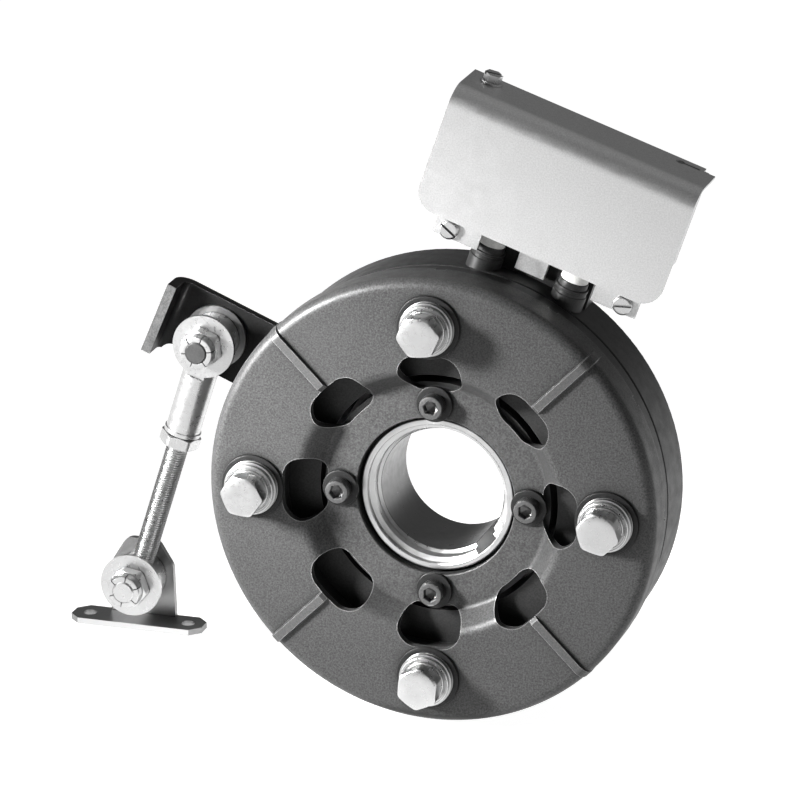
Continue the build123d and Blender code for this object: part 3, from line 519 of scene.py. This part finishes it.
def cut_end_black(name):
    """Black finished bracket whose front end is the light, bare face left by the saw."""
    n = Nodes(name)
    bare = n.before(BRACKET_TIP + 0.35)
    speckle = n.noise(1300, 2, 0.8)
    black = n.ramp(speckle, (0.35, grey(0.003)), (0.65, grey(0.008)))
    # Lighter outside edges: edge wear and a painted highlight.
    black = n.mix(n.math("MULTIPLY", n.edges(0.35), 0.30), black, grey(0.4))
    metal = n.ramp(speckle, (0.30, grey(0.06)), (0.70, grey(0.17)))
    rough = n.between(n.noise(200, 4), 0.40, 0.52)
    n.shader.inputs["Specular IOR Level"].default_value = 0.15
    metallic = n.math("MULTIPLY", bare, 0.8)
    return n.finish(n.mix(bare, black, metal), metallic, rough, n.bump(speckle, 0.3, 0.0001))


def plated(name, base, roughness, spots=0.0, front=None):
    """Zinc or nickel plate on machined steel: soft sheen, light scratches, a few dull marks, and painted
    shade in tight corners.
    A front, as (depth, base), makes everything before that depth lighter or darker; on the foot it is a
    painted highlight on the front face."""
    n = Nodes(name)
    clouds = n.noise(70, 3, 0.5)
    scratches = n.noise(500, 3, 0.6, stretch=(1.0, 0.2, 1.0))
    marks = n.ramp(n.noise(420, 2, 0.6), (0.70, 0.0), (0.74, spots))
    colour = n.between(clouds, grey(base * 0.94), grey(base * 1.04))
    colour = n.mix(marks, colour, grey(0.30))
    # A front paints the front face in another tone; on the foot it is a painted highlight.
    if front:
        depth, front_base = front
        colour = n.mix(n.before(depth), colour, grey(front_base))
    # Painted shade in tight corners.
    colour = n.mix(n.ramp(n.corner_shade(1.8), (0.30, 0.85), (0.75, 0.0)), colour, grey(base * 0.15))
    rough = n.between(scratches, roughness - 0.04, roughness + 0.05)
    return n.finish(colour, 1.0, rough, n.bump(scratches, 0.02, 0.00005))


def lathe_finish(name, base, roughness):
    """Turned steel: tool marks round the shaft axis, and painted shade that darkens the bore."""
    n = Nodes(name)
    x, y, z = n.axes()
    squares = [n.math("MULTIPLY", side, side) for side in (x, z)]
    radius = n.math("SQRT", n.math("ADD", *squares))
    pitch = 0.45 * MM
    wave = n.math("SINE", n.math("MULTIPLY", n.math("ADD", radius, y), 2 * math.pi / pitch))
    wander = n.noise(300, 3, 0.6)
    height = n.math("ADD", n.math("MULTIPLY", wave, 0.35), wander)
    clouds = n.noise(45, 3, 0.5)
    colour = n.between(clouds, grey(base * 0.86), grey(base * 1.05))
    # Painted shade: the bore is painted darker.
    bore_shade = n.math("LESS_THAN", radius, SHADED_BORE_R * MM)
    colour = n.mix(bore_shade, colour, grey(base * 0.32))
    rough = n.between(n.noise(220, 3), roughness - 0.05, roughness + 0.08)
    return n.finish(colour, 1.0, rough, n.bump(height, 0.02, 0.00006))


def satin_sheet(name, base, roughness):
    """Light satin sheet metal with a fine even grain."""
    n = Nodes(name)
    grain = n.noise(1300, 2, 0.8)
    clouds = n.noise(24, 4, 0.55)
    colour = n.between(grain, grey(base * 0.84), grey(base * 1.12))
    colour = n.mix(n.ramp(clouds, (0.4, 0.0), (0.75, 0.16)), colour, grey(base * 0.86))
    rough = n.between(n.noise(300, 3), roughness - 0.04, roughness + 0.06)
    return n.finish(colour, 0.9, rough, n.bump(grain, 0.20, 0.00008))


def plain_stuff(name, colour, roughness, metallic=0.0, scale=900):
    """Plastic, resin, lining or brass with a light grain."""
    n = Nodes(name)
    texture = n.noise(scale, 3, 0.6)
    low = tuple(c * 0.85 for c in colour)
    high = tuple(min(1.0, c * 1.12) for c in colour)
    rough = n.between(texture, roughness - 0.05, roughness + 0.06)
    return n.finish(n.between(texture, low, high), metallic, rough, n.bump(texture, 0.15, 0.0001))


def make_materials():
    """One material for each slot in the record, and a few finishes that share a slot."""
    return {
        "black_plate": plate_coating("black_plate", 0.048, 0.026, 0.44),
        "black_iron": dark_coating("black_iron", 0.018, 0.007, 0.42, 0.15, edge_wear_and_highlight=0.10, specular=0.30),
        "black_steel": dark_coating("black_steel", 0.012, 0.004, 0.42, 0.2, edge_wear_and_highlight=0.15, specular=0.3),
        "screw_black": dark_coating("screw_black", 0.13, 0.03, 0.34, 0.9, edge_wear_and_highlight=0.45),
        "bracket_black": cut_end_black("bracket_black"),
        # The foot's front face is painted lighter than its top: a painted highlight.
        "foot_steel": plated("foot_steel", 0.28, 0.34, front=(FOOT_FRONT, 0.64)),
        "shaded_steel": plated("shaded_steel", 0.22, 0.35),
        "bolt_end": dark_coating("bolt_end", 0.075, 0.01, 0.45, 0.9, edge_wear_and_highlight=0.0),
        "bright_steel": plated("bright_steel", 0.60, 0.29),
        "turned_steel": lathe_finish("turned_steel", 0.58, 0.32),
        "spring_steel": plated("spring_steel", 0.42, 0.32),
        "ground_steel": plated("ground_steel", 0.70, 0.16, spots=0.02),
        "cover_sheet": satin_sheet("cover_sheet", 0.60, 0.42),
        "lining": plain_stuff("lining", (0.16, 0.13, 0.10), 0.8, scale=500),
        "bobbin_plastic": plain_stuff("bobbin_plastic", (0.08, 0.08, 0.08), 0.5),
        "copper_wire": plain_stuff("copper_wire", (0.62, 0.28, 0.12), 0.35, 0.9),
        "potting_resin": plain_stuff("potting_resin", (0.04, 0.04, 0.04), 0.35),
        "brass": plain_stuff("brass", (0.72, 0.55, 0.26), 0.3, 1.0),
        "bushing_white": plain_stuff("bushing_white", (0.72, 0.72, 0.70), 0.42),
    }


MATERIALS = make_materials()
NODE_SLOT = {entry["node"]: entry["material_slot"] for entry in frame["record"]["subparts"]}
FINISHES = {
    "cap_screws": "screw_black",
    "foot_bracket": "foot_steel",
    "torque_bracket": "bracket_black",
    "upper_pivot_bolt": "bolt_end",
    "upper_rear_washer": "shaded_steel",
}


def give(obj, slot):
    obj.data.materials.clear()
    obj.data.materials.append(MATERIALS[slot])


def placed(obj, body, node):
    """Puts the object in the CAD node's place."""
    give(obj, FINISHES.get(node, NODE_SLOT[node]))
    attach(obj, body)
    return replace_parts(obj, node)


def piece(name, mesh_builder, body, node):
    """A new piece that stands for a CAD node and rides on its body."""
    return placed(new_object(name, mesh_builder), body, node)


# ---- CAD nodes that stay ---------------------------------------------------------------------
def dress_cad():
    """Materials for every node; replaced ones are hidden later."""
    for name, obj in frame["nodes"].items():
        give(obj, FINISHES.get(name, NODE_SLOT[name]))


dress_cad()


# ---- Drive plate -----------------------------------------------------------------------------
def plate_profile():
    """(radius, height) outline of the pressed plate's section, its bends as arcs."""
    ramp = math.atan2(DISH_DEPTH, RAMP_R - DISH_R)
    shift = PLATE_T * math.tan(ramp / 2)
    corners = [
        (PLATE_HOLE_R, -DISH_DEPTH),
        (DISH_R, -DISH_DEPTH),
        (RAMP_R, 0),
        (PLATE_R, 0),
        (PLATE_R, -PLATE_FLANGE),
        (PLATE_R - PLATE_T, -PLATE_FLANGE),
        (PLATE_R - PLATE_T, -PLATE_T),
        (RAMP_R + shift, -PLATE_T),
        (DISH_R + shift, -DISH_DEPTH - PLATE_T),
        (PLATE_HOLE_R, -DISH_DEPTH - PLATE_T),
    ]
    radii = {0: 0.6, 1: 4.0, 2: 7.0, 3: RIM_BEND_R, 4: 0.6, 5: 0.4, 6: 1.5, 7: 3.0, 8: 8.0, 9: 0.4}
    return rounded(corners, radii, 10)


def subdivided(outline, longest):
    """The closed outline with extra points, so that no step is longer than the limit."""
    points = []
    for i, start in enumerate(outline):
        end = outline[(i + 1) % len(outline)]
        steps = max(1, math.ceil((end - start).length / longest))
        points += [start.lerp(end, k / steps) for k in range(steps)]
    return points


def rib_angles():
    """Angles for the plate's mesh: even ones, and ones a tenth of a degree apart across each rib."""
    angles = {round(i * 0.75, 4) for i in range(480)}
    for middle in RIB_ANGLES:
        angles = {a for a in angles if abs(a - middle) > 2.4}
        angles |= {round(middle + k * 0.1, 4) for k in range(-24, 25)}
    return sorted(angles)


def smooth_step(value, low, high):
    t = min(1.0, max(0.0, (value - low) / (high - low)))
    return t * t * (3 - 2 * t)


def rib_lift(radius, height, angle):
    """0 to 1: how much of a rib's height stands at a point of the plate's outer skin."""
    off = abs((angle - 45) % 90)
    off = min(off, 90 - off)
    across = radius * math.radians(off)
    side = 1 - smooth_step(across, RIB_WIDTH / 2 - 0.35, RIB_WIDTH / 2 + 0.15)
    start = smooth_step(radius, RIB_START_R - 0.2, RIB_START_R + 0.3)
    end = smooth_step(height, -13.0, -10.5)
    return side * start * end


def build_plate(bm):
    """The section turned about the shaft axis, and pushed out along its normals where a rib stands."""
    outline = subdivided(plate_profile(), 2.4)
    count = len(outline)
    angles = rib_angles()
    rows = []
    for i, (radius, height) in enumerate(outline):
        along = outline[(i + 1) % count] - outline[i - 1]
        normal = Vector((-along.y, along.x)).normalized()
        outer = height > -PLATE_T * 0.99 and radius > RIB_START_R - 1 or radius > PLATE_R - 0.1
        loop = []
        for angle in angles:
            lift = rib_lift(radius, height, angle) if outer else 0.0
            r = radius + normal.x * lift * RIB_SIDE_LIFT
            h = height + normal.y * lift * RIB_HEIGHT
            x, z = polar(r, angle)
            loop.append((x, z, h))
        rows.append(loop)
    skin(bm, rows, facing(), ring=True)


def kidney(bm, middle):
    """Cutter for one kidney-shaped hole: two arcs about the shaft axis, joined by half circles."""
    swing = math.degrees((KIDNEY_LENGTH - KIDNEY_WIDTH) / KIDNEY_PCR) / 2
    half = KIDNEY_WIDTH / 2
    outline = []
    for side in (1, -1):
        for k in range(9):
            outline.append(polar(KIDNEY_PCR + side * half, middle + side * swing * (k / 4 - 1)))
        end = middle + side * swing
        centre = Vector(polar(KIDNEY_PCR, end))
        for k in range(1, 24):
            outline.append(centre + Vector(polar(side * half, end + 180 * k / 24)))
    prism(bm, outline, -25, 5, facing())


def plate_cutters(bm):
    """The kidneys, the holes for bolts and cap screws, and the notches in the flange's edge."""
    for i in range(8):
        kidney(bm, i * 45)
    for place in bolt_places():
        skin(bm, [circle(BOLT_HOLE_R, h, 64) for h in (-8, 5)], place, cap_first=True, cap_last=True)
    for place in screw_places():
        skin(bm, [circle(SCREW_HOLE_R, h, 48) for h in (-20, -5)], place, cap_first=True, cap_last=True)
    half = NOTCH_WIDTH / 2
    inner, outer = PLATE_R - 6, PLATE_R + 3
    outline = [(inner, -half), (outer, -half), (outer, half), (inner, half)]
    for i in range(12):
        prism(bm, outline, -PLATE_FLANGE - 2, -PLATE_FLANGE + NOTCH_DEPTH, facing(turn=i * 30))


def drive_plate():
    obj = new_object("pressed_drive_plate", build_plate)
    cut(obj, "plate_cutter", plate_cutters)
    bevel(obj, width=0.35, segments=3, angle=50)
    placed(obj, "output", "drive_plate")


drive_plate()


# ---- Bolt stacks and cap screws --------------------------------------------------------------
def build_seats(bm):
    for place in bolt_places():
        washer(bm, BOLT_HOLE_R, SEAT_R, 0, SEAT_T, place, 0.4)


def build_springs(bm):
    """Coned discs, front one first; every other one is turned over."""
    inner = BOLT_R + 0.5
    for place in bolt_places():
        for i in range(3):
            front = CUP_LOW - i * SPRING_PITCH
            middle, rim = (0.0, SPRING_CONE) if i % 2 == 0 else (SPRING_CONE, 0.0)
            corners = [
                (inner, front - middle),
                (SPRING_R, front - rim),
                (SPRING_R, front - rim - SPRING_T),
                (inner, front - middle - SPRING_T),
            ]
            turned(bm, rounded(corners, {1: 0.22, 2: 0.22}, 3), place)


def build_cups(bm):
    """Retaining washers: a raised middle ring, a groove, a flat ring and a raised rim."""
    groove = LOCK_LOW - 1.25
    flat = LOCK_LOW - 0.9
    corners = [
        (BOLT_FIT_R, LOCK_LOW),
        (LOCK_R + 0.6, LOCK_LOW),
        (LOCK_R + 0.9, groove),
        (LOCK_R + 1.4, groove),
        (LOCK_R + 1.6, flat),
        (CUP_R - 0.8, flat),
        (CUP_R - 0.45, LOCK_LOW - 0.35),
        (CUP_R, LOCK_LOW - 0.6),
        (CUP_R, CUP_LOW),
        (BOLT_FIT_R, CUP_LOW),
    ]
    radii = {1: 0.45, 2: 0.1, 3: 0.1, 4: 0.1, 5: 0.2, 6: 0.2, 7: 0.25, 8: 0.3}
    for place in bolt_places():
        turned(bm, rounded(corners, radii, 4), place)


def build_lock_washers(bm):
    """Split rings whose two ends are cut on a slant."""
    corners = [(BOLT_FIT_R, LOCK_LOW), (LOCK_R, LOCK_LOW), (LOCK_R, HEAD_LOW), (BOLT_FIT_R, HEAD_LOW)]
    section = rounded(corners, {i: 0.3 for i in range(4)}, 3)
    middle = (LOCK_LOW + HEAD_LOW) / 2
    slant = 6.0
    for place, start in zip(bolt_places(), LOCK_TURNS):
        loops = []
        for k in range(121):
            angle = start + LOCK_GAP / 2 + (360 - LOCK_GAP) * k / 120
            loops.append([(*polar(r, angle + slant * (h - middle)), h) for r, h in section])
        skin(bm, loops, place, cap_first=True, cap_last=True)


def build_bolts(bm):
    """Hexagon heads, and shanks that end in the armature."""
    shank = [(BOLT_R - 1, -ARMATURE_REAR), (BOLT_R, -ARMATURE_REAR + 1), (BOLT_R, HEAD_LOW)]
    for place, turn in zip(bolt_places(), BOLT_TURNS):
        hex_prism(bm, BOLT_AF, HEAD_LOW, HEAD_LOW + HEAD_H, place, turn)
        skin(bm, [circle(r, h, 64) for r, h in shank], place, cap_first=True, cap_last=True)


def knurled(angle):
    """Outside of a cap screw's head: 40 ridges."""
    return SCREW_HEAD_R - 0.16 * (0.5 + 0.5 * math.cos(math.radians(40 * angle)))


def build_cap_screws(bm):
    """Shank, knurled head with a rounded top edge, and a hexagon socket with a drilled end."""
    base = -DISH_DEPTH + SCREW_WASHER_T
    top = base + SCREW_HEAD_H
    socket = hex_radius(SCREW_SOCKET_AF, 0.05)
    levels = [
        (SCREW_R, -DISH_DEPTH - PLATE_T - SCREW_END),
        (SCREW_R, base),
        (SCREW_HEAD_R - 0.3, base),
        (SCREW_HEAD_R - 0.1, base + 0.25),
        (knurled, base + 0.5),
        (knurled, top - 1.0),
        (SCREW_HEAD_R - 0.12, top - 0.9),
        (SCREW_HEAD_R - 0.18, top - 0.5),
        (SCREW_HEAD_R - 0.45, top - 0.12),
        (SCREW_HEAD_R - 0.8, top),
    ]
    for index, place in enumerate(screw_places()):
        turn = 20 * index - 30
        loops = [circle(r, h, 240) for r, h in levels]
        for grow, drop in ((0.35, 0.0), (0.0, 0.35), (0.0, SOCKET_DEPTH)):
            loops.append(circle(lambda a, t=turn, g=grow: socket(a - t) + g, top - drop, 240))
        loops.append(circle(0.5, top - SOCKET_DEPTH - 1.2, 240))
        skin(bm, loops, place, cap_first=True, cap_last=True)


def build_screw_washers(bm):
    top = -DISH_DEPTH + SCREW_WASHER_T
    for place in screw_places():
        washer(bm, SCREW_R + 0.2, SCREW_WASHER_R, -DISH_DEPTH, top, place, 0.35)


def bolt_stacks():
    piece("black_seats", build_seats, "output", "spring_seats")
    springs = piece("coned_springs", build_springs, "output", "disc_springs")
    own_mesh(springs)
    piece("stepped_cups", build_cups, "armature", "spring_cups")
    piece("split_washers", build_lock_washers, "armature", "lock_washers")
    piece("hexagon_bolts", build_bolts, "armature", "armature_bolts")
    piece("knurled_screws", build_cap_screws, "output", "cap_screws")
    piece("dark_washers", build_screw_washers, "output", "cap_screw_washers")


bolt_stacks()


# ---- Torque link's threaded pieces -----------------------------------------------------------
def crown_nut(bm, place, low):
    """Hexagon nut with a smooth crown, its bore left round."""
    high = low + NUT_H
    cone = hex_cone(NUT_AF, 0.97, 0.55, [k / 6 for k in range(7)])
    levels = [(r, low + d) for r, d in cone] + [(r, high - d) for r, d in reversed(cone)]
    crown = [
        (CROWN_R + 0.3, -0.1),
        (CROWN_R + 0.1, -0.1),
        (CROWN_R, 0.1),
        (CROWN_R, CROWN_H - 1.2),
        (CROWN_R - 0.15, CROWN_H - 0.5),
        (CROWN_R - 0.45, CROWN_H - 0.12),
        (CROWN_R - 0.8, CROWN_H),
        (PIN_R + 0.1, CROWN_H),
        (PIN_R, CROWN_H - 0.1),
    ]
    loops = [circle(PIN_R, low + 0.5, HEX_COUNT), circle(PIN_R + 0.5, low, HEX_COUNT)]
    loops += hex_loops(NUT_AF, levels)
    loops += [circle(r, high + h, HEX_COUNT) for r, h in crown]
    skin(bm, loops, place, ring=True)


def slit_cutters(bm, place, low):
    """Three thin blades through the crown's middle, which cut its six slits."""
    half = SLIT_WIDTH / 2
    reach = 12
    outline = [(-reach, -half), (reach, -half), (reach, half), (-reach, half)]
    for i in range(3):
        across = place @ Matrix.Rotation(math.radians(60 * i), 4, "Z")
        prism(bm, outline, low + NUT_H + 0.35, low + NUT_H + CROWN_H + 2, across)


def make_crown_nut(name, x, z, turn, body, node):
    place = facing(x, z, turn)
    obj = new_object(name, lambda bm: crown_nut(bm, place, -NUT_REAR))
    cut(obj, name + "_slits", lambda bm: slit_cutters(bm, place, -NUT_REAR))
    placed(obj, body, node)


def build_thread(bm):
    """The rod as a grid over turn and length, its surface following one helix."""
    start = -LINK_LENGTH + EYE_R - 3
    end = -ROD_START
    rows = round((end - start) / THREAD_PITCH * 8)
    loops = []
    for k in range(rows + 1):
        z = start + (end - start) * k / rows

        def radius(angle, z=z):
            phase = (z / THREAD_PITCH - angle / 360) % 1.0
            ridge = min(1.0, max(0.0, 2.6 * abs(phase - 0.5) - 0.15))
            return PIN_R - THREAD_DEPTH * ridge

        loops.append(circle(radius, z, 48))
    skin(bm, loops, on_link(), cap_first=True, cap_last=True)


def build_jam_nut(bm):
    high = -SLEEVE_END - RUN_GAP
    hex_prism(bm, NUT_AF, high - JAM_NUT_H, high, on_link(), JAM_NUT_TURN, PIN_R + THREAD_FIT)


def link_hardware():
    upper = polar(PIVOT_R, BRACKET_ANGLE)
    lean = math.radians(LINK_LEAN)
    lower = (upper[0] - LINK_LENGTH * math.sin(lean), upper[1] - LINK_LENGTH * math.cos(lean))
    make_crown_nut("upper_nut", *upper, CROWN_TURNS[0], "field", "upper_crown_nut")
    make_crown_nut("lower_nut", *lower, CROWN_TURNS[1], "foot", "lower_crown_nut")
    piece("thread", build_thread, "rod", "threaded_rod")
    piece("thin_nut", build_jam_nut, "lock_nut", "jam_nut")


link_hardware()


# ---- Terminals -------------------------------------------------------------------------------
def build_bosses(bm):
    """Two stepped bosses on the field shell's rim, under the light bushings."""
    profile = [
        (STUD_R, BOSS_FOOT),
        (BOSS_R, BOSS_FOOT),
        (BOSS_R, BOSS_TOP - 7.0),
        (BOSS_R - 0.5, BOSS_TOP - 6.6),
        (BOSS_R - 0.5, BOSS_TOP - 4.8),
        (BOSS_R - 0.2, BOSS_TOP - 4.5),
        (BOSS_R - 0.2, BOSS_TOP - 3.4),
        (BOSS_R - 1.1, BOSS_TOP - 3.0),
        (BOSS_R - 1.1, BOSS_TOP),
        (STUD_R, BOSS_TOP),
    ]
    outward = Matrix.Rotation(math.radians(90 - TERMINAL_ANGLE), 4, "Y")
    outline = rounded(profile, {2: 0.2, 3: 0.2, 5: 0.15, 6: 0.3, 8: 0.4}, 3)
    for side in (-1, 1):
        place = outward @ Matrix.Translation((side * TERMINAL_SIDE, PLATE_FRONT_Y + TERMINAL_DEPTH, 0))
        turned(bm, outline, place, 72)


piece("stepped_bosses", build_bosses, "field", "terminal_bosses")


# ---- Stage, camera and light -----------------------------------------------------------------
def floor_material():
    """White with a slight glow of its own, and hardly any gloss."""
    value = 0.45
    n = Nodes("floor_white")
    colour = n.between(n.noise(3.0, 2), grey(value * 0.995), grey(value))
    n.shader.inputs["Specular IOR Level"].default_value = 0.1
    n.shader.inputs["Emission Color"].default_value = (1.0, 1.0, 1.0, 1.0)
    n.shader.inputs["Emission Strength"].default_value = FLOOR_GLOW
    return n.finish(colour, 0.0, 0.85)


def make_stage(floor_z):
    """Wide pale floor that glows, so it stays white round the object."""
    half = 6.0
    corners = [(-half, -half), (half, -half), (half, half), (-half, half)]
    bm = bmesh.new()
    bm.faces.new([bm.verts.new((x, y, floor_z)) for x, y in corners])
    mesh = bpy.data.meshes.new("floor")
    bm.to_mesh(mesh)
    bm.free()
    floor = bpy.data.objects.new("floor", mesh)
    bpy.context.scene.collection.objects.link(floor)
    mesh.materials.append(floor_material())


def area_light(name, place, target, size, power, spread):
    """A rectangular light; metres, watts, and the spread in degrees."""
    data = bpy.data.lights.new(name, "AREA")
    data.shape = "RECTANGLE"
    data.size, data.size_y = size
    data.energy = power
    data.spread = math.radians(spread)
    light = bpy.data.objects.new(name, data)
    bpy.context.scene.collection.objects.link(light)
    light.location = place
    light.rotation_euler = (Vector(target) - Vector(place)).to_track_quat("-Z", "Y").to_euler()


def make_world():
    """White below the horizon; above it a dim room, a little lighter behind the object."""
    world = bpy.data.worlds.new("studio")
    bpy.context.scene.world = world
    world.use_nodes = True
    tree = world.node_tree
    back = tree.nodes["Background"]
    place = tree.nodes.new("ShaderNodeTexCoord")
    parts = tree.nodes.new("ShaderNodeSeparateXYZ")
    tree.links.new(place.outputs["Generated"], parts.inputs[0])
    above = tree.nodes.new("ShaderNodeMapRange")
    tree.links.new(parts.outputs["Z"], above.inputs["Value"])
    above.inputs["From Min"].default_value = -0.02
    above.inputs["From Max"].default_value = 0.06
    room = tree.nodes.new("ShaderNodeMapRange")
    tree.links.new(parts.outputs["Y"], room.inputs["Value"])
    room.inputs["From Min"].default_value = -1.0
    room.inputs["From Max"].default_value = 0.6
    room.inputs["To Min"].default_value = ROOM_FRONT
    room.inputs["To Max"].default_value = ROOM_BACK
    mix = tree.nodes.new("ShaderNodeMix")
    tree.links.new(above.outputs["Result"], mix.inputs[0])
    mix.inputs[2].default_value = 1.0
    tree.links.new(room.outputs["Result"], mix.inputs[3])
    tree.links.new(mix.outputs[0], back.inputs["Color"])


def make_camera():
    azimuth, elevation = math.radians(CAMERA_AZIMUTH), math.radians(CAMERA_ELEVATION)
    direction = Vector((
        math.sin(azimuth) * math.cos(elevation),
        -math.cos(azimuth) * math.cos(elevation),
        math.sin(elevation),
    ))
    data = bpy.data.cameras.new("camera")
    data.lens = CAMERA_LENS
    data.sensor_width = 36.0
    data.clip_end = 50.0
    camera = bpy.data.objects.new("camera", data)
    bpy.context.scene.collection.objects.link(camera)
    target = Vector(CAMERA_TARGET) * MM
    camera.location = target + direction * CAMERA_DISTANCE * MM
    camera.rotation_euler = (-direction).to_track_quat("-Z", "Y").to_euler()
    bpy.context.scene.camera = camera


make_world()
make_stage(cad_box[0][2] - 0.001)
area_light("key", (-0.62, -0.46, 0.30), (-0.12, -0.04, 0.05), size=(0.20, 0.20), power=1.45, spread=30)
area_light("top", (-0.1, 0.6, 2.0), (0, 0.4, 0), size=(2.4, 2.4), power=3, spread=180)
make_camera()

scene = bpy.context.scene
scene.view_settings.view_transform = "Standard"
scene.view_settings.look = "None"
